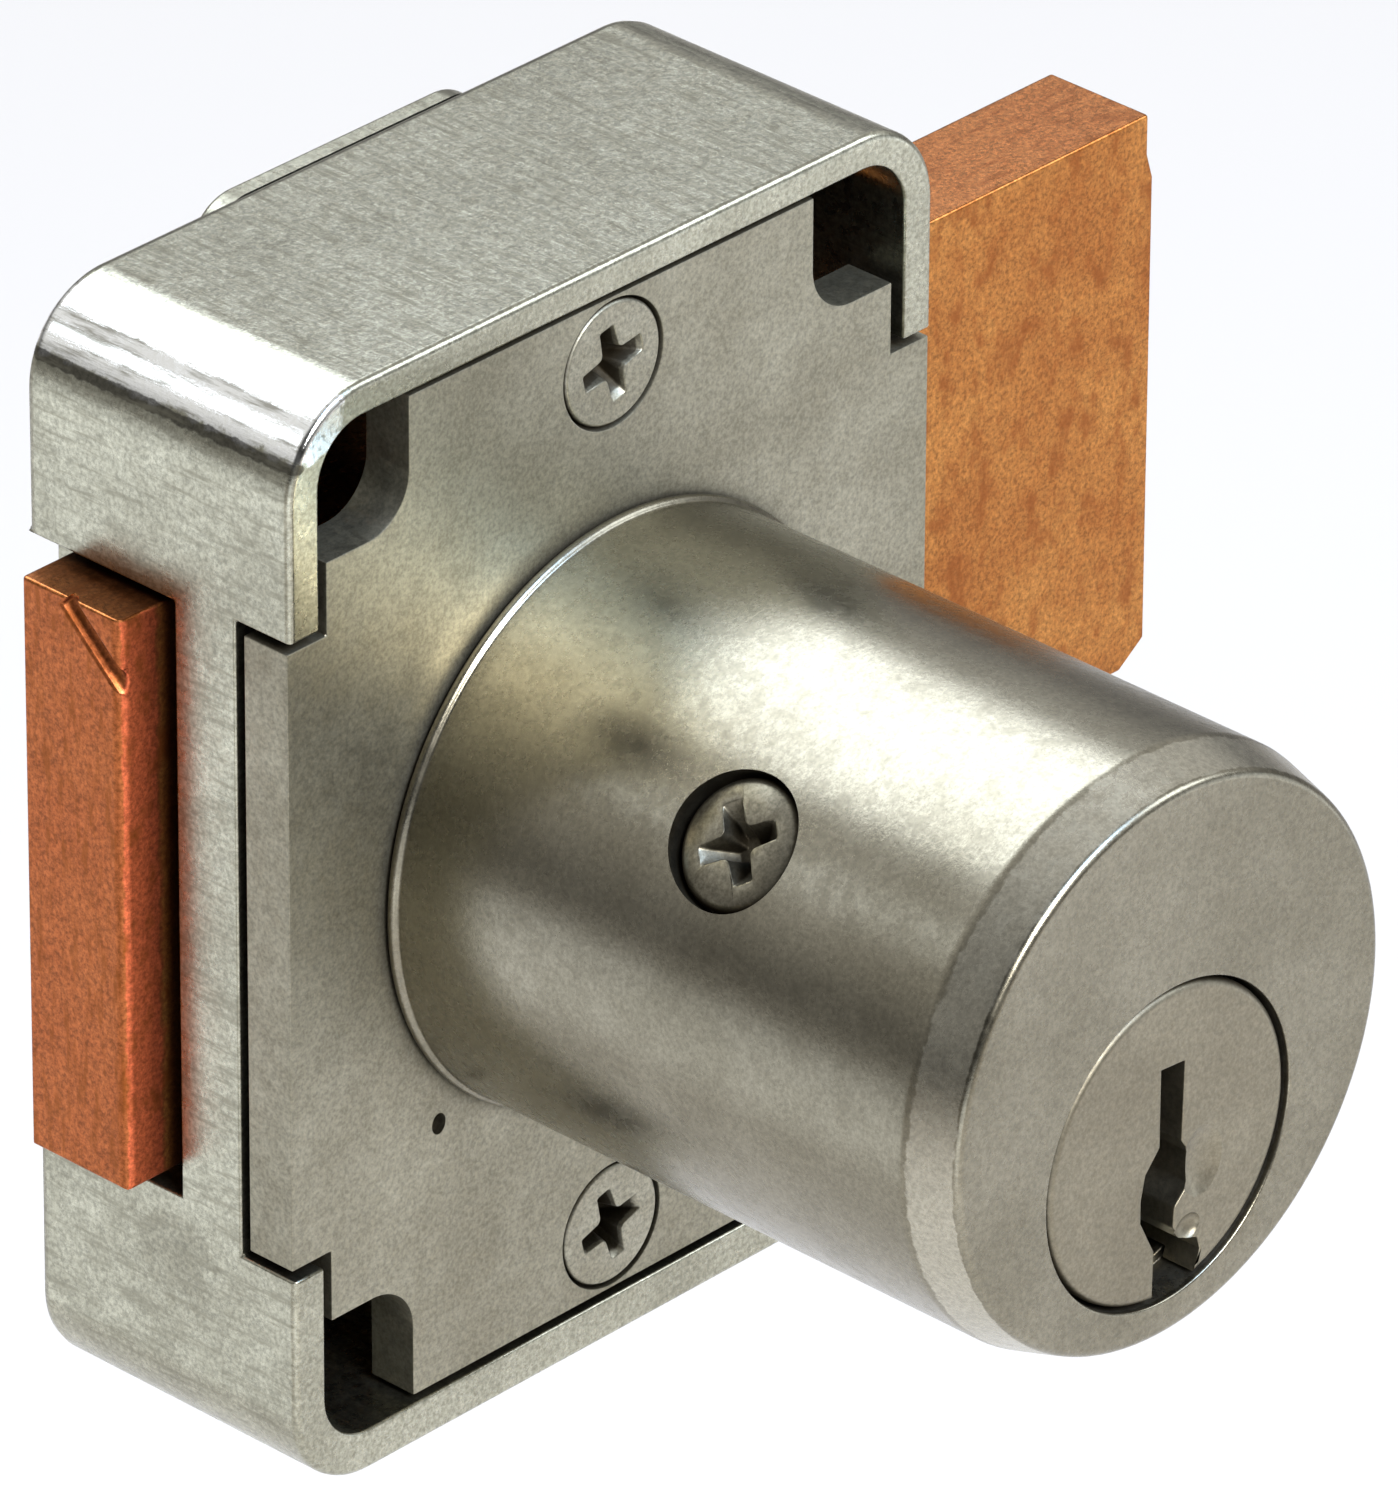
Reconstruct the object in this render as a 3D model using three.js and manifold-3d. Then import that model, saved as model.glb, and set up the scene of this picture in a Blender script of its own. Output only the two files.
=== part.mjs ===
// Surface-mounted cabinet deadbolt lock with a pin tumbler cylinder.
// Millimetres. X runs along the bolt (+X is the way it throws), -Y is the door and the key side,
// +Z is up. The origin is on the cylinder's axis, in the plane where the case meets the door.
import * as THREE from 'three';
import { mergeVertices } from 'three/addons/utils/BufferGeometryUtils.js';
import Module from 'manifold-3d';

const wasm = await Module();
wasm.setup();

// ---- driving dimensions ----
const CASE_WIDTH = 31.75;
const CASE_TOP = 21.2;
const CASE_BOTTOM = -21.6;
const CASE_DEPTH = 12.7;
const CASE_WALL = 1.45;
const CASE_INNER_HALF_HEIGHT = 19.95;
const CASE_BACK_THICKNESS = 1.5;
const CASE_CORNER = 3.6;
const CASE_BACK_EDGE = 0.6;
const PAD_HALF_WIDTH = 7;
const PAD_HALF_HEIGHT = 20.85;
const PAD_RISE = 0.95;
const PAD_EDGE = 0.2;

const PLATE_FRONT = 0.15;
const PLATE_THICKNESS = 2.05;
const PLATE_HALF_WIDTH = 13.95;
const TAB_HALF_HEIGHT = 12.1;
const CORNER_NOTCH_X = 9.95;
const CORNER_NOTCH_Z = 14.9;
const CORNER_NOTCH_RADIUS = 2;

const CYLINDER_RADIUS = 11.11;
const CYLINDER_LENGTH = 25.75;
const NOSE_TAPER_LENGTH = 2.1;
const NOSE_TAPER = 0.5;
const NOSE_ROUND = 0.35;
const COLLAR_RADIUS = 11.3;
const COLLAR_HEIGHT = 0.3;
const SPIGOT_RADIUS = 10.2;

const PLUG_Z = -3.12;
const PLUG_HEAD_RADIUS = 5.95;
const PLUG_RADIUS = 5.6;
const PLUG_END = 2.8;
const RUNNING_GAP = 0.15;

const BOLT_LEFT = -17.75;
const BOLT_RIGHT = 34.35;
const BOLT_BOTTOM = -10.6;
const BOLT_TOP = 11.8;
const BOLT_FRONT = 6.2;
const BOLT_THICKNESS = 4.7;
const BOLT_SLOT_FRONT = 5.5;
const BOLT_SLOT_BOTTOM = -11.3;
const BOLT_SLOT_TOP = 12.15;

const CRANK_RADIUS = 6.35;
const CAM_FRONT = 3;
const CAM_THICKNESS = 1.4;
const CAM_PIN_RADIUS = 1.5;

const SCREW_Z = 17.1;
const SCREW_HEAD_RADIUS = 2.35;
const SCREW_SHANK_RADIUS = 1.1;
const POST_RADIUS = 2.6;
const MOUNT_HOLE_X = 12;
const MOUNT_HOLE_Z = 17.4;
const MOUNT_HOLE_RADIUS = 2;

const SIDE_SCREW_Y = -13.35;
const SIDE_SCREW_ANGLE = THREE.MathUtils.degToRad(41);
const SIDE_SCREW_RADIUS = 2.4;

const PIN_PITCH = 3.97;
const FIRST_PIN_DEPTH = 5.9;
const PIN_RADIUS = 1.45;
const CHAMBER_RADIUS = 1.6;
const CHAMBER_TOP = 9.6;
const PIN_HOLE_FLOOR = -5;
const KEY_PIN_LENGTHS = [3.8, 5, 4.4, 5.4, 4.1];
const DRIVER_LENGTH = 3.2;
const SPRING_WIRE_RADIUS = 0.16;
const SPRING_TURNS = 4.5;

// ---- finishes ----
const nickel = { color: 0x9b9683, roughness: 0.35, metalness: 1 };
const nickelDark = { color: 0x86816f, roughness: 0.4, metalness: 1 };
const bronze = { color: 0xc0743a, roughness: 0.45, metalness: 1 };
const brass = { color: 0xb89a55, roughness: 0.35, metalness: 1 };
const steel = { color: 0x8c8c8a, roughness: 0.35, metalness: 1 };

// ---- solids ----
function solid(geometry) {
  const bare = geometry.clone();
  bare.deleteAttribute('normal');
  bare.deleteAttribute('uv');
  const merged = mergeVertices(bare, 1e-5);
  const index = merged.index.array;
  const faces = [];
  for (let i = 0; i < index.length; i += 3) {
    const [a, b, c] = [index[i], index[i + 1], index[i + 2]];
    if (a !== b && b !== c && c !== a) faces.push(a, b, c);
  }
  const vertProperties = new Float32Array(merged.attributes.position.array);
  const triVerts = new Uint32Array(faces);
  return new wasm.Manifold(new wasm.Mesh({ numProp: 3, vertProperties, triVerts }));
}

function box(x0, x1, y0, y1, z0, z1) {
  const geometry = new THREE.BoxGeometry(x1 - x0, y1 - y0, z1 - z0);
  geometry.translate((x0 + x1) / 2, (y0 + y1) / 2, (z0 + z1) / 2);
  return solid(geometry);
}

// A round bar along Y, from y0 to y1, about the line through x and z.
function barY(radius, y0, y1, x = 0, z = 0, sides = 48) {
  const geometry = new THREE.CylinderGeometry(radius, radius, y1 - y0, sides);
  geometry.translate(x, (y0 + y1) / 2, z);
  return solid(geometry);
}

// A round bar along Z, from z0 to z1, standing at y.
function barZ(radius, z0, z1, y, sides = 20) {
  const geometry = new THREE.CylinderGeometry(radius, radius, z1 - z0, sides);
  geometry.rotateX(Math.PI / 2);
  geometry.translate(0, y, (z0 + z1) / 2);
  return solid(geometry);
}

// A solid of revolution about Y. The profile lists [radius, y] with y rising.
function turned(profile, sides = 64) {
  const points = profile.map(([radius, y]) => new THREE.Vector2(radius, y));
  return solid(new THREE.LatheGeometry(points, sides));
}

// An outline drawn in X and Z, extruded along Y from y0 to y1.
function plate(shape, y0, y1, curveSegments = 6) {
  const geometry = new THREE.ExtrudeGeometry(shape, { depth: y1 - y0, bevelEnabled: false, curveSegments });
  geometry.rotateX(Math.PI / 2);
  geometry.translate(0, y1, 0);
  return solid(geometry);
}

// The same with a rounded back rim: the front rim is made too far forward and cut off.
function dishedPlate(shape, y0, y1, edge) {
  const options = { depth: y1 - y0, bevelThickness: edge, bevelSize: edge, bevelOffset: -edge };
  const geometry = new THREE.ExtrudeGeometry(shape, { ...options, bevelSegments: 3, curveSegments: 6 });
  geometry.rotateX(Math.PI / 2);
  geometry.translate(0, y1 - edge, 0);
  return solid(geometry).subtract(box(-50, 50, y0 - 50, y0, -50, 50));
}

function roundedRectangle(x0, x1, z0, z1, radius) {
  const shape = new THREE.Shape();
  shape.moveTo(x0 + radius, z0);
  shape.lineTo(x1 - radius, z0);
  shape.absarc(x1 - radius, z0 + radius, radius, -Math.PI / 2, 0);
  shape.lineTo(x1, z1 - radius);
  shape.absarc(x1 - radius, z1 - radius, radius, 0, Math.PI / 2);
  shape.lineTo(x0 + radius, z1);
  shape.absarc(x0 + radius, z1 - radius, radius, Math.PI / 2, Math.PI);
  shape.lineTo(x0, z0 + radius);
  shape.absarc(x0 + radius, z0 + radius, radius, Math.PI, Math.PI * 1.5);
  return shape;
}

function toGeometry(manifold) {
  const mesh = manifold.getMesh();
  const geometry = new THREE.BufferGeometry();
  const positions = Float32Array.from(mesh.vertProperties);
  geometry.setAttribute('position', new THREE.BufferAttribute(positions, mesh.numProp));
  geometry.setIndex(Array.from(mesh.triVerts));
  geometry.computeVertexNormals();
  return geometry;
}

const lock = new THREE.Group();

function add(name, manifold, finish) {
  const mesh = new THREE.Mesh(toGeometry(manifold), new THREE.MeshStandardMaterial(finish));
  mesh.name = name;
  lock.add(mesh);
  return mesh;
}

// ---- case: a deep pan, open towards the door ----
const halfWidth = CASE_WIDTH / 2;
const innerHalfWidth = halfWidth - CASE_WALL;
const TAB_SLOT_DEPTH = 2.6;
const TAB_SLOT_HALF_HEIGHT = 12.5;
const POST_TAIL_RADIUS = 1.5;

function caseSolid() {
  const outline = roundedRectangle(-halfWidth, halfWidth, CASE_BOTTOM, CASE_TOP, CASE_CORNER);
  const innerCorner = CASE_CORNER - CASE_WALL;
  const hollow = roundedRectangle(
    -innerHalfWidth, innerHalfWidth, -CASE_INNER_HALF_HEIGHT, CASE_INNER_HALF_HEIGHT, innerCorner);
  const padOutline = roundedRectangle(
    -PAD_HALF_WIDTH, PAD_HALF_WIDTH, -PAD_HALF_HEIGHT, PAD_HALF_HEIGHT, CORNER_NOTCH_RADIUS);
  let body = dishedPlate(outline, 0, CASE_DEPTH, CASE_BACK_EDGE);
  body = body.add(dishedPlate(padOutline, CASE_DEPTH - CASE_BACK_EDGE, CASE_DEPTH + PAD_RISE, PAD_EDGE));
  body = body.subtract(plate(hollow, -1, CASE_DEPTH - CASE_BACK_THICKNESS));
  for (const side of [-1, 1]) {
    const [near, far] = [side * (innerHalfWidth - 0.1), side * (halfWidth + 1)];
    const [x0, x1] = [Math.min(near, far), Math.max(near, far)];
    body = body.subtract(box(x0, x1, -1, TAB_SLOT_DEPTH, -TAB_SLOT_HALF_HEIGHT, TAB_SLOT_HALF_HEIGHT));
    body = body.subtract(box(x0, x1, BOLT_SLOT_FRONT, CASE_DEPTH + 1, BOLT_SLOT_BOTTOM, BOLT_SLOT_TOP));
    const tailHole = barY(POST_TAIL_RADIUS + RUNNING_GAP, 0, CASE_DEPTH + 3, 0, side * SCREW_Z, 24);
    body = body.subtract(tailHole);
    for (const end of [-1, 1]) {
      const hole = barY(MOUNT_HOLE_RADIUS, 1, CASE_DEPTH + 3, side * MOUNT_HOLE_X, end * MOUNT_HOLE_Z, 24);
      body = body.subtract(hole);
    }
  }
  return body;
}

// ---- front plate: closes the case; its side tabs sit in notches in the case walls ----
const PLATE_EDGE_GAP = 0.25;
const plateBack = PLATE_FRONT + PLATE_THICKNESS;
const SPIGOT_HOLE_GAP = 0.15;

function frontPlateOutline() {
  const top = CASE_INNER_HALF_HEIGHT - PLATE_EDGE_GAP;
  const reach = halfWidth - 0.02;
  const r = CORNER_NOTCH_RADIUS;
  const quarter = [
    [reach, TAB_HALF_HEIGHT], [PLATE_HALF_WIDTH, TAB_HALF_HEIGHT], [PLATE_HALF_WIDTH, CORNER_NOTCH_Z],
  ];
  const STEPS = 6;
  for (let i = 0; i <= STEPS; i++) {
    const angle = (i / STEPS) * Math.PI / 2;
    quarter.push([CORNER_NOTCH_X + r * (1 - Math.sin(angle)), CORNER_NOTCH_Z + r * (1 - Math.cos(angle))]);
  }
  quarter.push([CORNER_NOTCH_X, top]);
  const mirrored = (sx, sz) => quarter.map(([x, z]) => new THREE.Vector2(sx * x, sz * z));
  return new THREE.Shape([
    ...mirrored(1, 1), ...mirrored(-1, 1).reverse(), ...mirrored(-1, -1), ...mirrored(1, -1).reverse(),
  ]);
}

// The cone under a countersunk head, from its face at y towards +Y.
const HEAD_DEPTH = 1.3;
const COUNTERSINK_LIP = 0.25;
function countersink(radius, neck, y, z, sides) {
  const cone = new THREE.CylinderGeometry(neck, radius, HEAD_DEPTH, sides);
  cone.translate(0, y + HEAD_DEPTH / 2, z);
  return solid(cone);
}

function frontPlateSolid() {
  let body = plate(frontPlateOutline(), PLATE_FRONT, plateBack);
  body = body.subtract(barY(SPIGOT_RADIUS + SPIGOT_HOLE_GAP, -1, 4, 0, 0, 64));
  for (const end of [-1, 1]) {
    const z = end * SCREW_Z;
    body = body.subtract(barY(SCREW_SHANK_RADIUS + 0.3, -1, 4, 0, z, 24));
    const lip = PLATE_FRONT + COUNTERSINK_LIP;
    body = body.subtract(countersink(SCREW_HEAD_RADIUS + 0.1, SCREW_SHANK_RADIUS + 0.3, lip, z, 32));
    body = body.subtract(barY(SCREW_HEAD_RADIUS + 0.1, -1, lip + 0.01, 0, z, 32));
  }
  return body;
}

// ---- cylinder housing ----
const PLUG_HEAD_LENGTH = 1.5;
const PLUG_RECESS = 0.08;
const pinY = (i) => -CYLINDER_LENGTH + FIRST_PIN_DEPTH + i * PIN_PITCH;
const SIDE_HEAD_SINK = 0.35;
const SIDE_HEAD_DEPTH = 1.3;
const SIDE_BORE_FLOOR = CYLINDER_RADIUS - SIDE_HEAD_SINK - SIDE_HEAD_DEPTH - 0.15;
const SIDE_TIP = 5.6;

// Moves a solid made along Y at the origin onto the side screw's own axis, head outwards.
function ontoSideAxis(manifold) {
  const geometry = toGeometry(manifold);
  geometry.rotateZ(Math.PI / 2);
  geometry.rotateY(SIDE_SCREW_ANGLE);
  geometry.translate(0, SIDE_SCREW_Y, 0);
  return solid(geometry);
}

function housingSolid() {
  const face = -CYLINDER_LENGTH;
  const noseRadius = CYLINDER_RADIUS - NOSE_TAPER;
  const nose = [0, 1, 2, 3].map((i) => {
    const angle = (i / 3) * Math.PI / 2;
    const inset = NOSE_ROUND * (1 - Math.sin(angle));
    return [noseRadius - inset, face + NOSE_ROUND * (1 - Math.cos(angle))];
  });
  const profile = [
    [0, face], ...nose, [CYLINDER_RADIUS, face + NOSE_TAPER_LENGTH],
    [CYLINDER_RADIUS, -COLLAR_HEIGHT], [COLLAR_RADIUS, -COLLAR_HEIGHT], [COLLAR_RADIUS, 0.02],
    [SPIGOT_RADIUS, 0.02], [SPIGOT_RADIUS, 2.32], [SPIGOT_RADIUS + 0.6, 2.4], [SPIGOT_RADIUS, 2.75],
    [0, 2.75],
  ];
  let body = turned(profile, 72);
  body = body.subtract(barY(PLUG_RADIUS + RUNNING_GAP, face - 1, 4, 0, PLUG_Z, 56));
  const headEnd = face + PLUG_RECESS + PLUG_HEAD_LENGTH + RUNNING_GAP;
  body = body.subtract(barY(PLUG_HEAD_RADIUS + RUNNING_GAP, face - 1, headEnd, 0, PLUG_Z, 56));
  for (let i = 0; i < KEY_PIN_LENGTHS.length; i++) {
    body = body.subtract(barZ(CHAMBER_RADIUS, 0, CHAMBER_TOP, pinY(i)));
  }
  const bore = barY(SIDE_SCREW_RADIUS + 0.15, SIDE_BORE_FLOOR, 14, 0, 0, 32);
  const thread = barY(SCREW_SHANK_RADIUS + 0.15, SIDE_TIP - 0.3, 14, 0, 0, 24);
  return body.subtract(ontoSideAxis(bore)).subtract(ontoSideAxis(thread));
}

// ---- screws: made with the head face at y = 0 and the shank towards +Y ----
const RECESS_DEPTH = 1;
const RECESS_REACH = 1.45;
const RECESS_WIDTH = 0.38;

function crossRecess(turn) {
  const arm = new THREE.CylinderGeometry(0.62, 1, RECESS_DEPTH + 0.2, 4);
  arm.rotateY(Math.PI / 4);
  arm.scale(RECESS_REACH * Math.SQRT2, 1, RECESS_WIDTH * Math.SQRT2);
  arm.translate(0, RECESS_DEPTH / 2 - 0.1, 0);
  const crossArm = arm.clone().rotateY(Math.PI / 2);
  arm.rotateY(turn);
  crossArm.rotateY(turn);
  return solid(arm).add(solid(crossArm));
}

function flatScrew(turn, length) {
  const profile = [
    [0, 0], [SCREW_HEAD_RADIUS - 0.1, 0], [SCREW_HEAD_RADIUS, 0.12], [SCREW_SHANK_RADIUS, HEAD_DEPTH],
    [SCREW_SHANK_RADIUS, length - 0.5], [SCREW_SHANK_RADIUS - 0.4, length], [0, length],
  ];
  return turned(profile, 32).subtract(crossRecess(turn));
}

function cheeseScrew(headRadius, headDepth, shankRadius, length, turn) {
  const profile = [
    [0, 0], [headRadius - 0.25, 0], [headRadius, 0.25], [headRadius, headDepth],
    [shankRadius, headDepth], [shankRadius, length - 0.4], [shankRadius - 0.4, length], [0, length],
  ];
  return turned(profile, 32).subtract(crossRecess(turn));
}

// ---- threaded posts, riveted into the back of the case ----
const POST_FRONT = plateBack + 0.1;
const postShoulder = CASE_DEPTH - CASE_BACK_THICKNESS - 0.05;

function postSolid() {
  const tailEnd = CASE_DEPTH + PAD_RISE;
  const profile = [
    [0, POST_FRONT], [POST_RADIUS - 0.2, POST_FRONT], [POST_RADIUS, POST_FRONT + 0.2],
    [POST_RADIUS, postShoulder], [POST_TAIL_RADIUS, postShoulder],
    [POST_TAIL_RADIUS, tailEnd - 0.1], [POST_TAIL_RADIUS - 0.4, tailEnd + 0.15], [0, tailEnd + 0.2],
  ];
  const threaded = barY(SCREW_SHANK_RADIUS + 0.1, POST_FRONT - 1, postShoulder - 1.5, 0, 0, 24);
  return turned(profile, 32).subtract(threaded);
}

// ---- plug, with a generic keyway open at its underside ----
const TAIL_RADIUS = 4;
const TAIL_FLAT = 3;
const tailEnd = CAM_FRONT + CAM_THICKNESS - 0.05;
const KEYWAY_END = -1.5;
const CAM_SCREW_RADIUS = 1.4;

function keywayOutline() {
  const right = [[0.75, -0.2], [0.75, -3.3], [1.15, -3.95], [1.15, -5.1], [0.45, -5.8], [0.4, -6.6]];
  const foot = [[0.8, -7.2], [1.65, -7.5], [1.8, -8], [1.3, -9.6], [-0.6, -9.6]];
  const left = [[-0.55, -7.1], [-1.25, -5.7], [-1.25, -4.8], [-1.05, -3.9], [-0.35, -3.1], [-0.35, -0.2]];
  return new THREE.Shape([...right, ...foot, ...left].map(([x, z]) => new THREE.Vector2(x, z)));
}

function tailBar(radius, flat, y0, y1) {
  return barY(radius, y0, y1, 0, PLUG_Z, 32).intersect(box(-flat, flat, y0 - 1, y1 + 1, -20, 20));
}

function plugSolid() {
  const front = -CYLINDER_LENGTH + PLUG_RECESS;
  let body = barY(PLUG_HEAD_RADIUS, front, front + PLUG_HEAD_LENGTH, 0, PLUG_Z, 56);
  body = body.add(barY(PLUG_RADIUS, front + 0.5, PLUG_END, 0, PLUG_Z, 56));
  body = body.add(tailBar(TAIL_RADIUS, TAIL_FLAT, PLUG_END - 0.5, tailEnd));
  body = body.subtract(plate(keywayOutline(), front - 1, KEYWAY_END));
  for (let i = 0; i < KEY_PIN_LENGTHS.length; i++) {
    body = body.subtract(barZ(CHAMBER_RADIUS, PIN_HOLE_FLOOR, 10, pinY(i)));
  }
  return body.subtract(barY(CAM_SCREW_RADIUS + 0.1, -0.1, 10, 0, PLUG_Z, 24));
}

// ---- pin stacks, standing at the shear line as a right key holds them ----
const KEY_PIN_TOP = 2.25;
const DRIVER_BOTTOM = PLUG_Z + PLUG_RADIUS + RUNNING_GAP + 0.03;
const SPRING_GAP = 0.1;

function pinSolid(z0, z1, y, lowerBevel, upperBevel) {
  const profile = [
    [0, z0], [PIN_RADIUS - lowerBevel, z0], [PIN_RADIUS, z0 + lowerBevel],
    [PIN_RADIUS, z1 - upperBevel], [PIN_RADIUS - upperBevel, z1], [0, z1],
  ];
  const points = profile.map(([radius, height]) => new THREE.Vector2(radius, height));
  const geometry = new THREE.LatheGeometry(points, 20);
  geometry.rotateX(Math.PI / 2);
  geometry.translate(0, y, 0);
  return solid(geometry);
}

class Helix extends THREE.Curve {
  constructor(radius, rise, turns) {
    super();
    Object.assign(this, { radius, rise, turns });
  }

  getPoint(t, target = new THREE.Vector3()) {
    const angle = t * this.turns * 2 * Math.PI;
    return target.set(this.radius * Math.cos(angle), this.radius * Math.sin(angle), this.rise * t);
  }
}

function springSolid(z0, z1, y) {
  const wire = new THREE.Shape();
  wire.absarc(0, 0, SPRING_WIRE_RADIUS, 0, Math.PI * 2);
  const path = new Helix(PIN_RADIUS - SPRING_WIRE_RADIUS - 0.1, z1 - z0 - 2 * SPRING_WIRE_RADIUS, SPRING_TURNS);
  const steps = Math.round(SPRING_TURNS * 8);
  const geometry = new THREE.ExtrudeGeometry(wire, { steps, curveSegments: 3, extrudePath: path });
  geometry.translate(0, y, z0 + SPRING_WIRE_RADIUS);
  return solid(geometry);
}

// ---- crank that the plug turns, and its drive pin in the bolt's window ----
const camBack = CAM_FRONT + CAM_THICKNESS;
const CAM_HUB_RADIUS = 5.1;
const CAM_END_RADIUS = 2.6;
const CAM_PIN_TAIL_RADIUS = 1.1;

function camSolid() {
  const lean = Math.acos((CAM_HUB_RADIUS - CAM_END_RADIUS) / CRANK_RADIUS);
  const shape = new THREE.Shape();
  shape.absarc(0, PLUG_Z, CAM_HUB_RADIUS, lean, 2 * Math.PI - lean);
  shape.absarc(CRANK_RADIUS, PLUG_Z, CAM_END_RADIUS, -lean, lean);
  let body = plate(shape, CAM_FRONT, camBack, 20);
  body = body.subtract(tailBar(TAIL_RADIUS + 0.12, TAIL_FLAT + 0.12, CAM_FRONT - 1, camBack + 1));
  return body.subtract(barY(CAM_PIN_TAIL_RADIUS + 0.1, 0, 8, CRANK_RADIUS, PLUG_Z, 24));
}

function camPinSolid() {
  const pinBack = BOLT_FRONT + BOLT_THICKNESS - 0.3;
  const shoulder = camBack + 0.1;
  const profile = [
    [0, CAM_FRONT], [CAM_PIN_TAIL_RADIUS, CAM_FRONT], [CAM_PIN_TAIL_RADIUS, shoulder],
    [CAM_PIN_RADIUS, shoulder], [CAM_PIN_RADIUS, pinBack - 0.3], [CAM_PIN_RADIUS - 0.3, pinBack],
    [0, pinBack],
  ];
  return turned(profile, 24);
}

// ---- bolt: a flat bar whose window the drive pin works in ----
// The bolt moves in step with the crank's angle. Seen from the bolt, the pin then wanders
// sideways by up to this share of the crank radius, and the window is that much wider.
const PIN_WANDER = 0.211;
const WINDOW_CLEARANCE = 0.3;

function boltOutline() {
  const NOSE_CLIP = 1.3;
  const TOP_SETBACK = 0.3;
  return new THREE.Shape([
    new THREE.Vector2(BOLT_LEFT, BOLT_BOTTOM),
    new THREE.Vector2(BOLT_RIGHT - NOSE_CLIP, BOLT_BOTTOM),
    new THREE.Vector2(BOLT_RIGHT, BOLT_BOTTOM + NOSE_CLIP * 0.7),
    new THREE.Vector2(BOLT_RIGHT, BOLT_TOP - 2.6),
    new THREE.Vector2(BOLT_RIGHT - TOP_SETBACK, BOLT_TOP - 1.6),
    new THREE.Vector2(BOLT_RIGHT - TOP_SETBACK, BOLT_TOP),
    new THREE.Vector2(BOLT_LEFT, BOLT_TOP),
  ]);
}

function boltSolid() {
  const halfWindow = CRANK_RADIUS * PIN_WANDER + CAM_PIN_RADIUS + WINDOW_CLEARANCE;
  const overrun = CAM_PIN_RADIUS + WINDOW_CLEARANCE;
  const window = roundedRectangle(
    CRANK_RADIUS - halfWindow, CRANK_RADIUS + halfWindow,
    PLUG_Z - overrun, PLUG_Z + CRANK_RADIUS + overrun, 0.9);
  const back = BOLT_FRONT + BOLT_THICKNESS;
  return plate(boltOutline(), BOLT_FRONT, back).subtract(plate(window, BOLT_FRONT - 1, back + 1));
}

// ---- assembly ----
add('case', caseSolid(), nickel);
add('front_plate', frontPlateSolid(), nickel);
add('cylinder_housing', housingSolid(), nickel);
add('bolt', boltSolid(), bronze);

const postPlaces = [['top', SCREW_Z, 0.2], ['bottom', -SCREW_Z, 0.25]];
for (const [end, z, turn] of postPlaces) {
  const screw = add(`plate_screw_${end}`, flatScrew(turn, 7), nickelDark);
  screw.position.set(0, PLATE_FRONT + 0.02, z);
  const post = add(`plate_post_${end}`, postSolid(), steel);
  post.position.set(0, 0, z);
}

const headFace = CYLINDER_RADIUS - SIDE_HEAD_SINK;
const sideScrew = cheeseScrew(
  SIDE_SCREW_RADIUS, SIDE_HEAD_DEPTH, SCREW_SHANK_RADIUS, headFace - SIDE_TIP, Math.PI / 4);
const sideScrewMesh = add('cylinder_side_screw', sideScrew, nickelDark);
sideScrewMesh.geometry.rotateZ(-Math.PI / 2);
sideScrewMesh.geometry.translate(-headFace, 0, 0);
sideScrewMesh.rotation.y = SIDE_SCREW_ANGLE;
sideScrewMesh.position.set(0, SIDE_SCREW_Y, 0);

add('plug', plugSolid(), brass);
add('cam', camSolid(), steel);
const camPin = add('cam_pin', camPinSolid(), steel);
camPin.position.set(CRANK_RADIUS, 0, PLUG_Z);
const CAM_SCREW_HEAD_FACE = BOLT_FRONT - 0.3;
const camScrewLength = CAM_SCREW_HEAD_FACE - 0.3;
const camScrew = cheeseScrew(2.6, 1.2, CAM_SCREW_RADIUS - 0.1, camScrewLength, 0.4);
const camScrewMesh = add('cam_screw', camScrew, steel);
camScrewMesh.rotation.x = Math.PI;
camScrewMesh.position.set(0, CAM_SCREW_HEAD_FACE, PLUG_Z);

KEY_PIN_LENGTHS.forEach((length, i) => {
  const number = i + 1;
  const y = pinY(i);
  const driverTop = DRIVER_BOTTOM + DRIVER_LENGTH;
  add(`key_pin_${number}`, pinSolid(KEY_PIN_TOP - length, KEY_PIN_TOP, y, 0.8, 0.2), brass);
  add(`driver_pin_${number}`, pinSolid(DRIVER_BOTTOM, driverTop, y, 0.2, 0.2), brass);
  add(`pin_spring_${number}`, springSolid(driverTop + SPRING_GAP, CHAMBER_TOP - SPRING_GAP, y), steel);
});

export default lock;
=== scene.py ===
"""Looks of a surface-mounted cabinet deadbolt lock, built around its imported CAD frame.

Lengths are in millimetres in the CAD's own axes unless a line says metres, and turn into metres
when a mesh is made. X runs along the bolt, -Y is the key side, +Z is up.
"""
import math

import bmesh
import bpy
from mathutils import Matrix, Vector


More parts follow.
